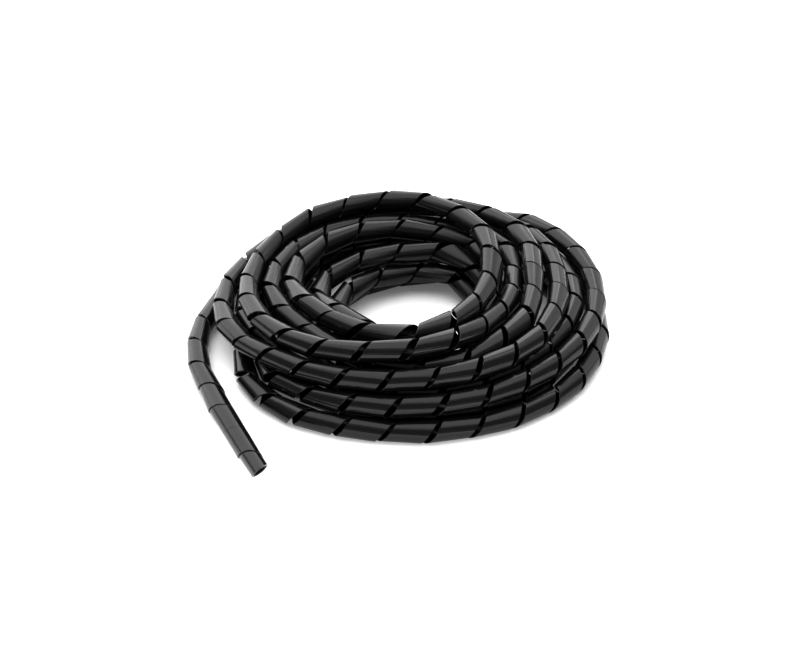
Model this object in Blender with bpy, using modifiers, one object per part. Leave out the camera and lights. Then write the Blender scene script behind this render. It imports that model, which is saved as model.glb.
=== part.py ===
# Spiral cable wrap: one black polyethylene strip, wound into an open tube and lying in a loose coil.
# Metres, +Z up. The origin is on the floor, under the middle of the coil and its free end.
import math

import bmesh
import bpy
import numpy as np

# The wrap, as it is made
tubeDiameter = 0.012    # outside
wall = 0.001
pitch = 0.024           # along the tube, for one turn of the strip
slit = 0.002            # left open between two turns, along the tube
facets = 6              # flat faces round one turn

# The coil, as it lies
lapGap = 0.0009         # least air between two laps
endRun = 0.028          # straight run up to the cut end, pointing along -Y
endHeading = 26.0       # degrees from the coil's own front to the cut end's direction
routeStep = 0.0072      # spacing of the points along the tube
settleRounds = 60

# Each row is one lap, from the inner end outwards, counter-clockwise seen from above. Each pair is the
# distance from the coil's middle and the height above the floor of the tube's centre, in tube diameters,
# at the back, back left, left, front left, front, front right, right and back right.
laps = [
    [(8.2, 0.5), (8.4, 0.5), (8.4, 0.5), (7.9, 0.5), (7.1, 0.5)],
    [(5.7, 0.5), (5.4, 0.5), (5.2, 0.5), (6.2, 0.5), (6.7, 0.5), (6.2, 0.5), (5.5, 0.5), (4.7, 0.5)],
    [(3.5, 0.5), (3.3, 0.5), (3.9, 0.5), (4.9, 0.5), (5.3, 0.5), (4.7, 0.5), (3.9, 0.5), (3.4, 1.3)],
    [(2.85, 1.2), (2.85, 1.25), (3.4, 1.35), (4.5, 1.35), (5.9, 1.4), (5.4, 1.5), (4.4, 1.35), (3.8, 2.2)],
    [(3.0, 2.1), (3.3, 2.05), (4.3, 1.9), (4.5, 2.2), (5.4, 2.35), (4.5, 2.1), (4.1, 2.25), (4.6, 2.4)],
    [(4.25, 2.85), (4.9, 2.85), (5.65, 2.65), (5.6, 2.95), (6.15, 3.3), (4.5, 3.1), (4.0, 3.15), (4.8, 3.4)],
    [(6.0, 3.6), (6.85, 3.0), (7.75, 2.35), (7.95, 2.8), (7.2, 3.3), (5.4, 2.7), (5.05, 2.3), (6.0, 2.35)],
    [(5.3, 2.6), (6.4, 2.6), (6.75, 2.4), (6.45, 2.4), (7.0, 2.25), (6.75, 2.6), (6.0, 2.7), (7.2, 2.7)],
    [(7.0, 2.6), (8.0, 1.95), (9.1, 1.45), (8.75, 2.0), (8.3, 2.4), (7.75, 2.4), (7.3, 2.3), (8.0, 2.1)],
    [(7.2, 1.5), (7.2, 1.4), (8.05, 1.4), (7.8, 1.5), (7.9, 1.4), (7.7, 1.4), (8.15, 1.5), (8.5, 1.2)],
    [(6.8, 0.5), (6.7, 0.5), (6.4, 0.5), (8.8, 1.1), (9.0, 1.45), (8.8, 1.45), (9.2, 1.5), (9.1, 1.75)],
    [(7.5, 0.7), (7.7, 0.5), (7.3, 0.5), (9.45, 0.5), (9.6, 0.5), (9.65, 0.5), (9.3, 0.5), (9.3, 0.5)],
    [(8.8, 0.5), (9.2, 0.5)],
]
stationAngle = 45.0     # degrees between two stations
# The tube's centre on the floor, from the last station to the straight end, in tube diameters
tail = [(-8.65, 3.9), (-9.7, 0.6), (-10.15, -1.2), (-10.2, -3.0), (-9.85, -4.75), (-9.3, -6.2),
        (-8.7, -7.65), (-7.9, -9.4), (-7.4, -10.45)]


def smoothThrough(knots, perSpan):
    """A smooth line through the knots, with perSpan points to each span."""
    knots = np.asarray(knots, float)
    line = []
    for i in range(len(knots) - 1):
        before, here = knots[max(i - 1, 0)], knots[i]
        there, after = knots[i + 1], knots[min(i + 2, len(knots) - 1)]
        for t in np.arange(perSpan) / perSpan:
            line.append(0.5 * (2 * here + (there - before) * t
                               + (2 * before - 5 * here + 4 * there - after) * t ** 2
                               + (after - before + 3 * (here - there)) * t ** 3))
    line.append(knots[-1])
    return np.array(line)


def spaced(line, step):
    """The same line with its points evenly spaced, about step apart."""
    run = np.concatenate([[0.0], np.cumsum(np.linalg.norm(np.diff(line, axis=0), axis=1))])
    stops = np.linspace(0.0, run[-1], int(round(run[-1] / step)) + 1)
    return np.stack([np.interp(stops, run, line[:, k]) for k in range(3)], axis=1)


def settle(line, spacing, floor):
    """Pushes laps apart until none is nearer than one spacing, and none is below the floor."""
    home, near = line.copy(), int(math.ceil(3 * spacing / routeStep))
    first, second = np.triu_indices(len(line), near)
    for _ in range(settleRounds):
        apart = line[second] - line[first]
        reach = np.linalg.norm(apart, axis=1)
        tight = reach < spacing
        one, two = first[tight], second[tight]
        shove = apart[tight] * (0.5 * (spacing / reach[tight] - 1.0))[:, None]
        push, hits = np.zeros_like(line), np.ones(len(line))
        np.add.at(push, one, -shove)
        np.add.at(push, two, shove)
        np.add.at(hits, one, 0.5)
        np.add.at(hits, two, 0.5)
        moved = line + push / hits[:, None] - home
        moved[1:-1] = 0.85 * moved[1:-1] + 0.075 * (moved[:-2] + moved[2:])
        line = home + moved
        line[:, 2] = np.maximum(line[:, 2], floor)
    return line


def tubeRoute():
    """The tube's centre line in the coil, from the hidden inner end to the cut end of the tail."""
    stations = [station for lap in laps for station in lap]
    lead = 8 - len(laps[0])
    polar = [(math.radians(90 + stationAngle * (lead + k)), r, z) for k, (r, z) in enumerate(stations)]
    coil = np.array([(r * math.cos(a), r * math.sin(a), z) for a, r, z in smoothThrough(polar, 12)])
    loose = smoothThrough([coil[-13], coil[-1]] + [(x, y, 0.5) for x, y in tail], 12)[12:]
    line = spaced(np.concatenate([coil[:-1], loose]) * tubeDiameter, routeStep)
    line = settle(line, tubeDiameter + lapGap, tubeDiameter / 2)
    turn = math.radians(endHeading)
    line[:, :2] = line[:, :2] @ np.array([[math.cos(turn), -math.sin(turn)], [math.sin(turn), math.cos(turn)]])
    end = line[-1] + (0.0, -endRun, 0.0)
    return np.concatenate([line, [end]])


def blackPlastic():
    """Glossy black polyethylene."""
    material = bpy.data.materials.new("black_polyethylene")
    material.use_nodes = True
    shader = material.node_tree.nodes["Principled BSDF"]
    shader.inputs["Base Color"].default_value = (0.012, 0.012, 0.013, 1.0)
    shader.inputs["Roughness"].default_value = 0.25
    shader.inputs["Metallic"].default_value = 0.0
    return material


def straightStrip(length):
    """The strip wound left-handed round Z, from Z = 0 to a square cut at Z = length, before it is coiled."""
    outer, inner = tubeDiameter / 2, tubeDiameter / 2 - wall
    profile = bpy.data.meshes.new("strip_section")
    width = pitch - slit
    corners = [(outer, 0, -pitch), (outer, 0, width - pitch), (inner, 0, width - pitch), (inner, 0, -pitch)]
    profile.from_pydata(corners, [(0, 1), (1, 2), (2, 3), (3, 0)], [])
    section = bpy.data.objects.new("strip_section", profile)
    bpy.context.scene.collection.objects.link(section)
    wind = section.modifiers.new("wind", "SCREW")
    wind.angle = -2 * math.pi
    wind.screw_offset = pitch
    wind.iterations = int(math.ceil(length / pitch)) + 2
    wind.steps = wind.render_steps = facets
    wind.merge_threshold = 0.00001
    wound = bpy.data.meshes.new_from_object(section.evaluated_get(bpy.context.evaluated_depsgraph_get()))
    bpy.data.objects.remove(section)

    shape = bmesh.new()
    shape.from_mesh(wound)
    bmesh.ops.holes_fill(shape, edges=[e for e in shape.edges if e.is_boundary], sides=4)
    bmesh.ops.recalc_face_normals(shape, faces=shape.faces)
    shape.to_mesh(wound)
    shape.free()
    return wound


def main():
    for old in list(bpy.data.objects):
        bpy.data.objects.remove(old)
    parts = bpy.data.collections.new("spiral_cable_wrap")
    tools = bpy.data.collections.new("cutters_and_guides")
    bpy.context.scene.collection.children.link(parts)
    bpy.context.scene.collection.children.link(tools)

    route = tubeRoute()
    length = float(np.linalg.norm(np.diff(route, axis=0), axis=1).sum())
    path = bpy.data.curves.new("coil_route", "CURVE")
    path.dimensions = "3D"
    spline = path.splines.new("POLY")
    spline.points.add(len(route) - 1)
    for point, place in zip(spline.points, route):
        point.co = (*place, 1.0)
    guide = bpy.data.objects.new("coil_route", path)
    guide.hide_render = True
    guide.display_type = "WIRE"
    tools.objects.link(guide)

    block = bpy.data.meshes.new("square_cut")
    shape = bmesh.new()
    bmesh.ops.create_cube(shape, size=1.0)
    bmesh.ops.scale(shape, vec=(2 * tubeDiameter, 2 * tubeDiameter, length), verts=shape.verts)
    bmesh.ops.translate(shape, vec=(0, 0, length / 2), verts=shape.verts)
    shape.to_mesh(block)
    shape.free()
    cutter = bpy.data.objects.new("square_cut", block)
    cutter.hide_render = True
    cutter.display_type = "WIRE"
    tools.objects.link(cutter)

    strip = straightStrip(length)
    strip.materials.append(blackPlastic())
    wrap = bpy.data.objects.new("spiral_wrap", strip)
    parts.objects.link(wrap)
    cut = wrap.modifiers.new("square_ends", "BOOLEAN")
    cut.operation = "INTERSECT"
    cut.object = cutter
    bend = wrap.modifiers.new("along_the_coil", "CURVE")
    bend.object = guide
    bend.deform_axis = "POS_Z"

    # The origin goes under the middle of the finished shape, on the floor
    lain = wrap.evaluated_get(bpy.context.evaluated_depsgraph_get()).to_mesh()
    places = np.empty(3 * len(lain.vertices))
    lain.vertices.foreach_get("co", places)
    low, high = places.reshape(-1, 3).min(axis=0), places.reshape(-1, 3).max(axis=0)
    for thing in (wrap, guide, cutter):
        thing.location = (-(low[0] + high[0]) / 2, -(low[1] + high[1]) / 2, -low[2])
    print(f"tube {length:.3f} m long, coil {high - low} m")


main()
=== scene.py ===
# Spiral cable wrap: one glossy black strip, wound into an open tube and lying in a loose coil.
# Everything is in metres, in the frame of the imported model.
import math
import bpy
import numpy as np
from mathutils import Matrix, Vector


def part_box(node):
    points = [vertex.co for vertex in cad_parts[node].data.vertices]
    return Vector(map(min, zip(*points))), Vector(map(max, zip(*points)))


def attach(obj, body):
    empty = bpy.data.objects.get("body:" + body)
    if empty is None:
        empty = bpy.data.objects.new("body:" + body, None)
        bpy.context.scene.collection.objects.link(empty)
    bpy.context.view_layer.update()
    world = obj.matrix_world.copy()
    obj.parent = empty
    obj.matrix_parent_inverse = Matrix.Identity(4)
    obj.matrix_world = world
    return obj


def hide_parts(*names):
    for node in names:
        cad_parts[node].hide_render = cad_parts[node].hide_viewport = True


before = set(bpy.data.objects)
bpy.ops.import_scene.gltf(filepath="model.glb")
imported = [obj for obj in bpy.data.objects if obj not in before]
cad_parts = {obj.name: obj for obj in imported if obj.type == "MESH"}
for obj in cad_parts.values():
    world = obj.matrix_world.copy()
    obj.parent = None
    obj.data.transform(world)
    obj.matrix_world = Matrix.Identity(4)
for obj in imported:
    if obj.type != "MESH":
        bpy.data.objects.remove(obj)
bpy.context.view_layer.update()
cadLow, cadHigh = (np.array(corner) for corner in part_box("spiral_wrap"))


class Wire:
    # One output socket of a tree; sums and products on it add their Math nodes
    def __init__(self, tree, socket=None):
        self.tree = tree
        self.socket = socket

    def node(self, kind, settings, sockets, output=0):
        made = self.tree.nodes.new(kind)
        for name, value in settings.items():
            setattr(made, name, value)
        usable = [entry for entry in made.inputs if entry.enabled]
        for name, value in sockets.items():
            entry = usable[name] if isinstance(name, int) else next(s for s in usable if s.name == name)
            if isinstance(value, Wire):
                self.tree.links.new(value.socket, entry)
            else:
                entry.default_value = value
        shown = [entry for entry in made.outputs if entry.enabled]
        found = shown[output] if isinstance(output, int) else next(s for s in shown if s.name == output)
        return Wire(self.tree, found)

    def isVector(self):
        return self.socket.type == "VECTOR"

    def maths(self, operation, first, second):
        if any(isinstance(side, Wire) and side.isVector() for side in (first, second)):
            return self.node("ShaderNodeVectorMath", {"operation": operation}, {0: first, 1: second})
        return self.node("ShaderNodeMath", {"operation": operation}, {0: first, 1: second})

    def __add__(self, other):
        return self.maths("ADD", self, other)

    def __radd__(self, other):
        return self.maths("ADD", other, self)

    def __sub__(self, other):
        return self.maths("SUBTRACT", self, other)

    def __rsub__(self, other):
        return self.maths("SUBTRACT", other, self)

    def __mul__(self, other):
        if self.isVector():
            return self.node("ShaderNodeVectorMath", {"operation": "SCALE"}, {0: self, "Scale": other})
        return self.maths("MULTIPLY", self, other)

    def __rmul__(self, other):
        return self * other

    def __truediv__(self, other):
        return self.maths("DIVIDE", self, other)

    def __rtruediv__(self, other):
        return self.maths("DIVIDE", other, self)


# The tube and how it lies, as in the solid model
tube = {
    "diameter": 0.012,
    "wall": 0.001,
    "lapGap": 0.0009,       # least air between two laps
    "endRun": 0.028,        # straight run up to the cut end
    "endHeading": 26.0,     # degrees from the coil's own front to the cut end's direction
    "routeStep": 0.0072,    # spacing of the points along the tube
    "settleRounds": 60,
    "settleSmooth": 0.15,   # share that each point takes from its two neighbours in a round
    "stationAngle": 45.0,   # degrees between two stations of a lap
    "perSpan": 12,          # points between two stations
}

# Each row is one lap, from the inner end outwards, counter-clockwise seen from above. Each pair is the
# distance from the coil's middle and the height above the floor of the tube's centre, in tube diameters,
# at the back, back left, left, front left, front, front right, right and back right.
laps = [
    [(8.2, 0.5), (8.4, 0.5), (8.4, 0.5), (7.9, 0.5), (7.1, 0.5)],
    [(5.7, 0.5), (5.4, 0.5), (5.2, 0.5), (6.2, 0.5), (6.7, 0.5), (6.2, 0.5), (5.5, 0.5), (4.7, 0.5)],
    [(3.5, 0.5), (3.3, 0.5), (3.9, 0.5), (4.9, 0.5), (5.3, 0.5), (4.7, 0.5), (3.9, 0.5), (3.4, 1.3)],
    [(2.85, 1.2), (2.85, 1.25), (3.4, 1.35), (4.5, 1.35), (5.9, 1.4), (5.4, 1.5), (4.4, 1.35), (3.8, 2.2)],
    [(3.0, 2.1), (3.3, 2.05), (4.3, 1.9), (4.5, 2.2), (5.4, 2.35), (4.5, 2.1), (4.1, 2.25), (4.6, 2.4)],
    [(4.25, 2.85), (4.9, 2.85), (5.65, 2.65), (5.6, 2.95), (6.15, 3.3), (4.5, 3.1), (4.0, 3.15), (4.8, 3.4)],
    [(6.0, 3.6), (6.85, 3.0), (7.75, 2.35), (7.95, 2.8), (7.2, 3.3), (5.4, 2.7), (5.05, 2.3), (6.0, 2.35)],
    [(5.3, 2.6), (6.4, 2.6), (6.75, 2.4), (6.45, 2.4), (7.0, 2.25), (6.75, 2.6), (6.0, 2.7), (7.2, 2.7)],
    [(7.0, 2.6), (8.0, 1.95), (9.1, 1.45), (8.75, 2.0), (8.3, 2.4), (7.75, 2.4), (7.3, 2.3), (8.0, 2.1)],
    [(7.2, 1.5), (7.2, 1.4), (8.05, 1.4), (7.8, 1.5), (7.9, 1.4), (7.7, 1.4), (8.15, 1.5), (8.5, 1.2)],
    [(6.8, 0.5), (6.7, 0.5), (6.4, 0.5), (8.8, 1.1), (9.0, 1.45), (8.8, 1.45), (9.2, 1.5), (9.1, 1.75)],
    [(7.5, 0.7), (7.7, 0.5), (7.3, 0.5), (9.45, 0.5), (9.6, 0.5), (9.65, 0.5), (9.3, 0.5), (9.3, 0.5)],
    [(8.8, 0.5), (9.2, 0.5)],
]
# Where the tube lies on the floor, from the last station to the straight end, in tube diameters. Its
# centre is half a diameter up.
tail = [(-8.65, 3.9), (-9.7, 0.6), (-10.15, -1.2), (-10.2, -3.0), (-9.85, -4.75), (-9.3, -6.2),
        (-8.7, -7.65), (-7.9, -9.4), (-7.4, -10.45)]


def smoothThrough(knots, perSpan):
    # A Catmull-Rom line with perSpan points to each span
    knots = np.asarray(knots, float)
    line = []
    for i in range(len(knots) - 1):
        before, here = knots[max(i - 1, 0)], knots[i]
        there, after = knots[i + 1], knots[min(i + 2, len(knots) - 1)]
        for t in np.arange(perSpan) / perSpan:
            line.append(0.5 * (2 * here + (there - before) * t
                               + (2 * before - 5 * here + 4 * there - after) * t ** 2
                               + (after - before + 3 * (here - there)) * t ** 3))
    line.append(knots[-1])
    return np.array(line)


def runAlong(line):
    return np.concatenate([[0.0], np.cumsum(np.linalg.norm(np.diff(line, axis=0), axis=1))])


def readAt(stops, run, values):
    return np.stack([np.interp(stops, run, values[:, k]) for k in range(3)], axis=1)


def spaced(line, step):
    run = runAlong(line)
    return readAt(np.linspace(0.0, run[-1], int(round(run[-1] / step)) + 1), run, line)


def settle(line, spacing, floor):
    # Pushes laps apart until none is nearer than one spacing, and none is below the floor
    home, near = line.copy(), int(math.ceil(3 * spacing / tube["routeStep"]))
    first, second = np.triu_indices(len(line), near)
    smooth = tube["settleSmooth"]
    for _ in range(tube["settleRounds"]):
        apart = line[second] - line[first]
        reach = np.linalg.norm(apart, axis=1)
        tight = reach < spacing
        one, two = first[tight], second[tight]
        shove = apart[tight] * (0.5 * (spacing / reach[tight] - 1.0))[:, None]
        push, hits = np.zeros_like(line), np.ones(len(line))
        np.add.at(push, one, -shove)
        np.add.at(push, two, shove)
        np.add.at(hits, one, 0.5)
        np.add.at(hits, two, 0.5)
        moved = line + push / hits[:, None] - home
        moved[1:-1] = (1 - smooth) * moved[1:-1] + smooth / 2 * (moved[:-2] + moved[2:])
        line = home + moved
        line[:, 2] = np.maximum(line[:, 2], floor)
    return line


def turnedBack(points):
    # From the coil's own front to the frame's, clockwise seen from above
    turn = math.radians(tube["endHeading"])
    points = np.array(points, float)
    points[..., :2] = points[..., :2] @ np.array([[math.cos(turn), -math.sin(turn)],
                                                  [math.sin(turn), math.cos(turn)]])
    return points


def tubeRoute():
    # The tube's centre line, from the hidden inner end to the cut end, and how far it was shifted
    angle, span = tube["stationAngle"], tube["perSpan"]
    stations = [station for lap in laps for station in lap]
    lead = int(360 / angle) - len(laps[0])
    polar = [(math.radians(90 + angle * (lead + k)), r, z) for k, (r, z) in enumerate(stations)]
    coil = np.array([(r * math.cos(a), r * math.sin(a), z) for a, r, z in smoothThrough(polar, span)])
    loose = smoothThrough([coil[-1 - span], coil[-1]] + [(x, y, 0.5) for x, y in tail], span)[span:]
    line = spaced(np.concatenate([coil[:-1], loose]) * tube["diameter"], tube["routeStep"])
    line = turnedBack(settle(line, tube["diameter"] + tube["lapGap"], tube["diameter"] / 2))
    steps = int(round(tube["endRun"] / tube["routeStep"]))
    straight = line[-1] + np.outer(np.arange(1, steps + 1) / steps, (0.0, -tube["endRun"], 0.0))
    line = np.concatenate([line, straight])
    shift = (cadLow + cadHigh) / 2 - (line.min(axis=0) + line.max(axis=0)) / 2
    shift[2] = 0.0
    return line + shift, shift


print("route of the tube")
route, shift = tubeRoute()
tubeLength = float(runAlong(route)[-1])

# The camera looks at the coil's own front, from the photograph's height. The coil's middle on the floor
# stands right of the picture's middle and above it.
view = {"lens": 67.5, "sensor": 36.0, "distance": 0.9, "elevation": 34.0, "right": 0.0054, "up": 0.0084}


def rightUpBack(elevation):
    low = math.radians(elevation)
    axes = [(1, 0, 0), (0, math.sin(low), math.cos(low)), (0, -math.cos(low), math.sin(low))]
    return turnedBack(np.array(axes, float))


def makeCamera():
    lens = bpy.data.cameras.new("camera")
    lens.sensor_width = view["sensor"]
    lens.lens = view["lens"]
    camera = bpy.data.objects.new("camera", lens)
    bpy.context.scene.collection.objects.link(camera)
    right, up, back = rightUpBack(view["elevation"])
    place = back * view["distance"] - right * view["right"] - up * view["up"] + shift
    turn = Matrix([right, up, back]).transposed().to_4x4()
    camera.matrix_world = Matrix.Translation(Vector(place)) @ turn
    bpy.context.scene.camera = camera


print("camera")
makeCamera()

# The strip that the tube is cut into
strip = {
    "width": 0.022,         # along the tube
    "edge": 0.00028,        # chamfer on its corners
    # Opening between two turns, beyond what the bend needs, each after its distance from the cut end
    "slack": [(0.012, -0.0016), (0.034, -0.0002), (0.11, -0.0002), (0.175, 0.00062), (0.6, 0.00062),
              (0.7, 0.00107), (1.05, 0.00107), (1.09, -0.0001), (1.15, -0.0001), (1.19, 0.0003),
              (1.23, 0.00146), (1.35, 0.00146), (1.4, 0.0008)],
    "tuckSize": 0.87,       # diameter of the last turn as a share of the tube's, to slip under its neighbour
    "tuckRun": (0.004, 0.03),       # from the cut end, where the turns widen again
    "cutLean": (-0.0021, 0.0, 0.0034),      # how far the end is cut aslant, each way round the tube
    "stiffness": 0.85,      # 1 keeps the strip straight along the tube, 0 lets it follow the bend
    "steps": 44,            # for one turn
    "phase": 0.74,          # turns, at the cut end
    "waver": 0.0005,        # uneven cut of the strip's edges, and half as much in and out
    "tilt": 0.22,           # how far a turn may flare, as a slope
    "calm": 0.03,           # run near both ends where the unevenness dies out
    # Each unevenness: how fast it changes along the tube, and its own multiple of the seed
    "uneven": {"width": (61, 1), "swell": (47, 3), "flare": (29, 5)},
    "seed": 7,
    "guideStep": 0.0008,    # spacing of the points where the bend is read
    "smoothOver": 23,       # of those points, for each reading
    "weld": 0.000002,
    "crease": 30.0,         # degrees, from which an edge stays sharp
}


def eased(value, low, high):
    t = np.clip((value - low) / (high - low), 0.0, 1.0)
    return t * t * (3 - 2 * t)


def stripGuide():
    # One vertex for each step of the strip, with the directions that its section needs
    dense = smoothThrough(route, tube["perSpan"])
    ahead, behind = dense[-1] - dense[-2], dense[0] - dense[1]
    reach, half = strip["width"], strip["width"] / 2
    dense = np.concatenate([[dense[0] + behind / np.linalg.norm(behind) * reach], dense,
                            [dense[-1] + ahead / np.linalg.norm(ahead) * reach]])
    run = runAlong(dense)
    even = np.linspace(0.0, run[-1], int(run[-1] / strip["guideStep"]))
    place = readAt(even, run, dense)
    even = even - reach
    step = even[1] - even[0]
    along = np.gradient(place, step, axis=0)
    along /= np.linalg.norm(along, axis=1)[:, None]
    curl = np.gradient(along, step, axis=0)
    window = np.hanning(strip["smoothOver"])
    curl = np.stack([np.convolve(curl[:, k], window / window.sum(), "same") for k in range(3)], axis=1)

    side = np.empty_like(place)         # turns as little as it can along the tube
    side[0] = np.cross(along[0], (0.0, 0.0, 1.0))
    for i in range(1, len(place)):
        side[i] = side[i - 1] - along[i] * np.dot(side[i - 1], along[i])
        side[i] /= np.linalg.norm(side[i])

    bend = np.linalg.norm(curl, axis=1) * tube["diameter"] / 2
    pitch = strip["width"] / (1 - bend) + np.interp(tubeLength - even, *zip(*strip["slack"]))
    turns = np.concatenate([[0.0], np.cumsum(step / pitch[:-1])])
    turnsAtCut = float(np.interp(tubeLength, even, turns))
    print(f"{turnsAtCut:.1f} turns in {tubeLength:.3f} m of tube")

    def turned(rows, stops):
        # The angle that each row stands at round the tube, its way out, and where the tube is cut there
        angle = 2 * math.pi * (strip["phase"] + turnsAtCut - rows)
        ahead, aside = readAt(stops, even, along), readAt(stops, even, side)
        outward = aside * np.cos(angle)[:, None] + np.cross(ahead, aside) * np.sin(angle)[:, None]
        return angle, outward, tubeLength + outward @ np.array(strip["cutLean"])

    rows = np.arange(0.0, turns[-1], 1.0 / strip["steps"])
    stops = np.interp(rows, turns, even)
    first = int(np.searchsorted(stops, -half))
    last = int(np.argmax(stops - half > turned(rows, stops)[2])) + 1
    rows, stops = rows[first:last], stops[first:last]
    stops[0] = -half
    stops[-1] = turned(rows, stops)[2][-1] + half

    angle, outward, cut = turned(rows, stops)
    place, along, curl = (readAt(stops, even, values) for values in (place, along, curl))
    size = 1 - (1 - strip["tuckSize"]) * (1 - eased(tubeLength - stops, *strip["tuckRun"]))
    loose = eased(stops, 0.0, strip["calm"]) * eased(tubeLength - stops, 0.0, strip["calm"])

    mesh = bpy.data.meshes.new("stripGuide")
    mesh.from_pydata(place.tolist(), [], [])
    vectors = {"along": along, "outward": outward, "curl": curl}
    for name, values in vectors.items():
        mesh.attributes.new(name, "FLOAT_VECTOR", "POINT").data.foreach_set("vector", values.ravel())
    numbers = {"run": stops, "size": size, "turnAngle": angle, "cut": cut, "loose": loose}
    for name, values in numbers.items():
        mesh.attributes.new(name, "FLOAT", "POINT").data.foreach_set("value", values)
    return mesh


def stripTree():
    # Sweeps the strip's section round the tube: rows follow the guide, columns go round the section
    tree = bpy.data.node_groups.new("spiralStrip", "GeometryNodeTree")
    tree.is_modifier = True
    face = tree.interface
    face.new_socket("Geometry", in_out="OUTPUT", socket_type="NodeSocketGeometry")
    face.new_socket("Guide", in_out="INPUT", socket_type="NodeSocketGeometry")
    sizes = ("Tube Diameter", "Wall", "Strip Width", "Edge Chamfer", "Stiffness", "Edge Waver", "Turn Flare")
    for name in sizes:
        face.new_socket(name, in_out="INPUT", socket_type="NodeSocketFloat")
    face.new_socket("Seed", in_out="INPUT", socket_type="NodeSocketInt")
    face.new_socket("Plastic", in_out="INPUT", socket_type="NodeSocketMaterial")
    entry = tree.nodes.new("NodeGroupInput")
    given = {socket.name: Wire(tree, socket) for socket in entry.outputs if socket.name}
    start = Wire(tree)

    width, wall = given["Strip Width"], given["Wall"]
    section = start.node("GeometryNodeCurvePrimitiveQuadrilateral", {"mode": "RECTANGLE"},
                         {"Width": width, "Height": wall})
    section = start.node("GeometryNodeFilletCurve", {"mode": "POLY"},
                         {"Curve": section, "Count": 1, "Radius": given["Edge Chamfer"]})
    columns = start.node("GeometryNodeAttributeDomainSize", {"component": "CURVE"}, {"Geometry": section})
    rows = start.node("GeometryNodeAttributeDomainSize", {"component": "MESH"}, {"Geometry": given["Guide"]})
    sheet = start.node("GeometryNodeMeshGrid", {}, {"Size X": 1.0, "Size Y": 1.0, "Vertices X": rows,
                                                    "Vertices Y": columns + 1})
    index = start.node("GeometryNodeInputIndex", {}, {})
    row = start.node("ShaderNodeMath", {"operation": "FLOOR"}, {0: index / (columns + 1)})
    rest = index - row * (columns + 1)
    column = start.node("ShaderNodeMath", {"operation": "MODULO"}, {0: rest, 1: columns})

    def fromGuide(name, kind):
        named = start.node("GeometryNodeInputNamedAttribute", {"data_type": kind}, {"Name": name})
        return start.node("GeometryNodeSampleIndex", {"data_type": kind, "domain": "POINT"},
                          {"Geometry": given["Guide"], "Value": named, "Index": row})

    here = start.node("GeometryNodeInputPosition", {}, {})
    centre = start.node("GeometryNodeSampleIndex", {"data_type": "FLOAT_VECTOR", "domain": "POINT"},
                        {"Geometry": given["Guide"], "Value": here, "Index": row})
    corner = start.node("GeometryNodeSampleIndex", {"data_type": "FLOAT_VECTOR", "domain": "POINT"},
                        {"Geometry": section, "Value": here, "Index": column})
    along, outward, curl = (fromGuide(name, "FLOAT_VECTOR") for name in ("along", "outward", "curl"))
    run, size, turnAngle, cut, loose = (fromGuide(name, "FLOAT")
                                        for name in ("run", "size", "turnAngle", "cut", "loose"))
    across = start.node("ShaderNodeSeparateXYZ", {}, {"Vector": corner})
    depth = start.node("ShaderNodeSeparateXYZ", {}, {"Vector": corner}, "Y")

    def wander(kind):
        # Uneven from turn to turn, about zero
        pace, share = strip["uneven"][kind]
        noise = start.node("ShaderNodeTexNoise", {"noise_dimensions": "1D"},
                           {"W": run * pace + given["Seed"] * share, "Scale": 1.0, "Detail": 1.0})
        return (noise - 0.5) * loose

    reach = across * (1 + wander("width") * given["Edge Waver"] / width)
    reach = start.node("ShaderNodeClamp", {}, {"Value": reach, "Min": 0 - run, "Max": cut - run})
    swell = wander("swell") * given["Edge Waver"] * 0.5
    flare = reach * wander("flare") * given["Turn Flare"]
    radius = (given["Tube Diameter"] * size - wall) / 2 + depth + swell + flare
    # The bend moves a soft strip by its reach squared. A stiff one moves whole, by the mean of that over
    # its width, which is the width squared over 12.
    soft = (1 - given["Stiffness"]) * reach * reach + given["Stiffness"] * width * width / 12
    place = centre + outward * radius + along * reach + curl * (soft * 0.5)
    sides = [start.node("ShaderNodeSeparateXYZ", {}, {"Vector": place}, side) for side in "XYZ"]
    # Nothing sinks into the floor
    above = start.node("ShaderNodeMath", {"operation": "MAXIMUM"}, {0: sides[2], 1: 0.0})
    place = start.node("ShaderNodeCombineXYZ", {}, {"X": sides[0], "Y": sides[1], "Z": above})
    body = start.node("GeometryNodeSetPosition", {}, {"Geometry": sheet, "Position": place})

    flat = start.node("ShaderNodeCombineXYZ", {}, {
        "X": start.node("ShaderNodeMath", {"operation": "COSINE"}, {0: turnAngle}) * radius,
        "Y": start.node("ShaderNodeMath", {"operation": "SINE"}, {0: turnAngle}) * radius,
        "Z": run + reach})
    body = start.node("GeometryNodeStoreNamedAttribute", {"data_type": "FLOAT_VECTOR", "domain": "POINT"},
                      {"Geometry": body, "Name": "straightTube", "Value": flat})
    body = start.node("GeometryNodeMergeByDistance", {}, {"Geometry": body, "Distance": strip["weld"]})
    angle = start.node("GeometryNodeInputMeshEdgeAngle", {}, {})
    smooth = start.node("FunctionNodeCompare", {"data_type": "FLOAT", "operation": "LESS_THAN"},
                        {0: angle, 1: math.radians(strip["crease"])})
    body = start.node("GeometryNodeSetShadeSmooth", {"domain": "EDGE"}, {0: body, "Shade Smooth": smooth})
    body = start.node("GeometryNodeRealizeInstances", {}, {"Geometry": body})
    body = start.node("GeometryNodeSetMaterial", {}, {"Geometry": body, "Material": given["Plastic"]})
    tree.links.new(body.socket, tree.nodes.new("NodeGroupOutput").inputs[0])
    return tree


def newMaterial(name):
    made = bpy.data.materials.new(name)
    made.use_nodes = True
    made.node_tree.nodes.clear()
    return made, Wire(made.node_tree)


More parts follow.
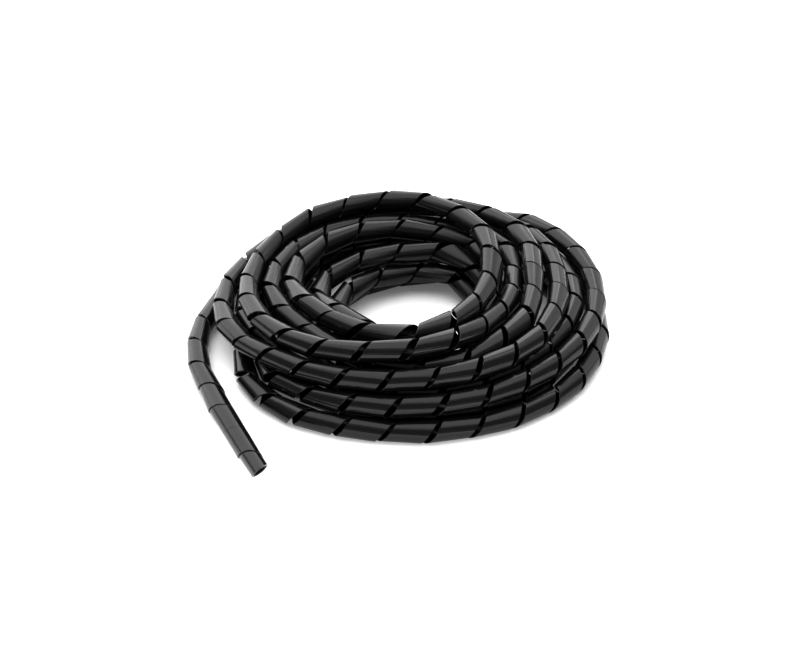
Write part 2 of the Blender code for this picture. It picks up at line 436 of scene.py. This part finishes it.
plastic = {
    "black": (0.007, 0.007, 0.0075, 1.0),
    "roughness": 0.2,
    "ior": 1.5,
    "drawLines": 900.0,     # fine lines left by the die, for one metre round the tube
    "drawScale": (1.0, 1.0, 0.02),      # stretches them along the tube
    "drawDepth": 0.03,      # against that of the swell
    "drawDulls": 0.14,      # what they add to the roughness
    "swell": 90.0,          # soft unevenness of the surface, for one metre
    "swellDulls": 0.08,
    "bumpStrength": 0.35,
    "bumpHeight": 0.0004,
}


def blackPlastic():
    # Black polyethylene with the faint lines of its extrusion, which run along the tube
    made, start = newMaterial("black_polyethylene")
    tubeSpace = start.node("ShaderNodeAttribute", {"attribute_name": "straightTube"}, {}, "Vector")
    drawn = start.node("ShaderNodeMapping", {}, {"Vector": tubeSpace, "Scale": plastic["drawScale"]})
    lines = start.node("ShaderNodeTexNoise", {},
                       {"Vector": drawn, "Scale": plastic["drawLines"], "Detail": 3.0})
    swell = start.node("ShaderNodeTexNoise", {},
                       {"Vector": tubeSpace, "Scale": plastic["swell"], "Detail": 2.0})
    height = lines * plastic["drawDepth"] + swell
    bump = start.node("ShaderNodeBump", {}, {
        "Strength": plastic["bumpStrength"], "Distance": plastic["bumpHeight"], "Height": height})
    dulled = (lines - 0.5) * plastic["drawDulls"]
    rough = plastic["roughness"] + dulled + (swell - 0.5) * plastic["swellDulls"]
    shader = start.node("ShaderNodeBsdfPrincipled", {}, {
        "Base Color": plastic["black"], "Roughness": rough, "Normal": bump, "IOR": plastic["ior"]})
    end = made.node_tree.nodes.new("ShaderNodeOutputMaterial")
    made.node_tree.links.new(shader.socket, end.inputs["Surface"])
    return made


def makeWrap():
    guide = bpy.data.objects.new("spiralStrip", stripGuide())
    bpy.context.scene.collection.objects.link(guide)
    tree = stripTree()
    wind = guide.modifiers.new("spiralStrip", "NODES")
    wind.node_group = tree
    given = {"Tube Diameter": tube["diameter"], "Wall": tube["wall"], "Strip Width": strip["width"],
             "Edge Chamfer": strip["edge"], "Stiffness": strip["stiffness"], "Edge Waver": strip["waver"],
             "Turn Flare": strip["tilt"], "Seed": strip["seed"], "Plastic": blackPlastic()}
    for socket in tree.interface.items_tree:
        if socket.in_out == "INPUT" and socket.name in given:
            wind[socket.identifier] = given[socket.name]
    graph = bpy.context.evaluated_depsgraph_get()
    wound = bpy.data.meshes.new_from_object(guide.evaluated_get(graph))
    guide.modifiers.remove(wind)
    wrap = bpy.data.objects.new("spiral_wrap_strip", wound)
    bpy.context.scene.collection.objects.link(wrap)
    bpy.data.objects.remove(guide)
    return wrap


print("strip wound round the tube")
wrap = makeWrap()
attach(wrap, "root")
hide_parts("spiral_wrap")

# Lights stand round the coil, each by its direction seen from the coil's middle, in degrees
lights = [
    {"name": "backLeftBox", "bearing": -148.0, "height": 32.0, "distance": 1.6,
     "size": (2.6, 1.8), "glow": 1.35},
    {"name": "backRightBox", "bearing": 138.0, "height": 32.0, "distance": 1.6,
     "size": (1.8, 1.6), "glow": 0.7},
    {"name": "topBox", "bearing": 0.0, "height": 88.0, "distance": 1.5,
     "size": (2.0, 1.7), "glow": 1.2},
]


def makeLight(lamp):
    shape = bpy.data.lights.new(lamp["name"], "AREA")
    shape.shape = "RECTANGLE"
    shape.size, shape.size_y = lamp["size"]
    shape.energy = lamp["glow"] * math.pi * shape.size * shape.size_y
    light = bpy.data.objects.new(lamp["name"], shape)
    bpy.context.scene.collection.objects.link(light)
    bearing, height = math.radians(lamp["bearing"]), math.radians(lamp["height"])
    away = turnedBack((math.sin(bearing) * math.cos(height), -math.cos(bearing) * math.cos(height),
                       math.sin(height)))
    light.location = Vector(away * lamp["distance"] + shift)
    light.rotation_euler = Vector(away).to_track_quat("Z", "Y").to_euler()


# The floor is pale paper. It glows a little, and more past a ring whose middle is behind the coil, so most
# on the floor in front of it. The glow is painted light standing in for fill light: it lifts the shade round
# the coil and what the front laps reflect of the floor.
paper = {
    "halfSide": 6.0,
    "white": (0.9, 0.9, 0.9, 1.0),
    "roughness": 0.6,
    "ringBehind": 0.3,      # from the coil's middle to the ring's
    "nearTo": 0.38,         # distance from the ring's middle where the glow starts to grow
    "farFrom": 0.5,         # and where it is full
    "nearPaintedGlow": 0.09,
    "farPaintedGlow": 0.75,
}


def makeFloor():
    plane = bpy.data.meshes.new("studioFloor")
    half = paper["halfSide"]
    corners = [(-half, -half, 0), (half, -half, 0), (half, half, 0), (-half, half, 0)]
    plane.from_pydata(corners, [], [(0, 1, 2, 3)])
    floor = bpy.data.objects.new("studioFloor", plane)
    bpy.context.scene.collection.objects.link(floor)
    made, start = newMaterial("palePaperWithPaintedGlow")
    here = start.node("ShaderNodeTexCoord", {}, {}, "Object")
    middle = turnedBack((0.0, paper["ringBehind"], 0.0)) + shift
    away = start.node("ShaderNodeVectorMath", {"operation": "LENGTH"}, {0: here - tuple(middle)})
    # painted light: the paper's emission, low near the coil and strong farther out
    glow = start.node("ShaderNodeMapRange", {"interpolation_type": "SMOOTHSTEP"}, {
        "Value": away, "From Min": paper["nearTo"], "From Max": paper["farFrom"],
        "To Min": paper["nearPaintedGlow"], "To Max": paper["farPaintedGlow"]})
    shader = start.node("ShaderNodeBsdfPrincipled", {}, {
        "Base Color": paper["white"], "Roughness": paper["roughness"],
        "Emission Color": glow, "Emission Strength": 1.0})
    end = made.node_tree.nodes.new("ShaderNodeOutputMaterial")
    made.node_tree.links.new(shader.socket, end.inputs["Surface"])
    plane.materials.append(made)


# The surroundings are dimmer in what they light than in what the camera sees of them
air = {"white": (1.0, 1.0, 1.0, 1.0), "glow": 0.28, "seen": 1.0}


def makeAir():
    world = bpy.data.worlds.new("studioAir")
    world.use_nodes = True
    world.node_tree.nodes.clear()
    start = Wire(world.node_tree)
    seen = start.node("ShaderNodeLightPath", {}, {}, "Is Camera Ray")
    strength = air["glow"] + seen * (air["seen"] - air["glow"])
    sky = start.node("ShaderNodeBackground", {}, {"Color": air["white"], "Strength": strength})
    end = world.node_tree.nodes.new("ShaderNodeOutputWorld")
    world.node_tree.links.new(sky.socket, end.inputs["Surface"])
    bpy.context.scene.world = world


print("studio")
for lamp in lights:
    makeLight(lamp)
makeFloor()
makeAir()

picture = {"transform": "Standard", "exposure": 1.0, "gamma": 0.7}
print("exposure")
display = bpy.context.scene.view_settings
display.view_transform = picture["transform"]
display.exposure = picture["exposure"]
display.gamma = picture["gamma"]
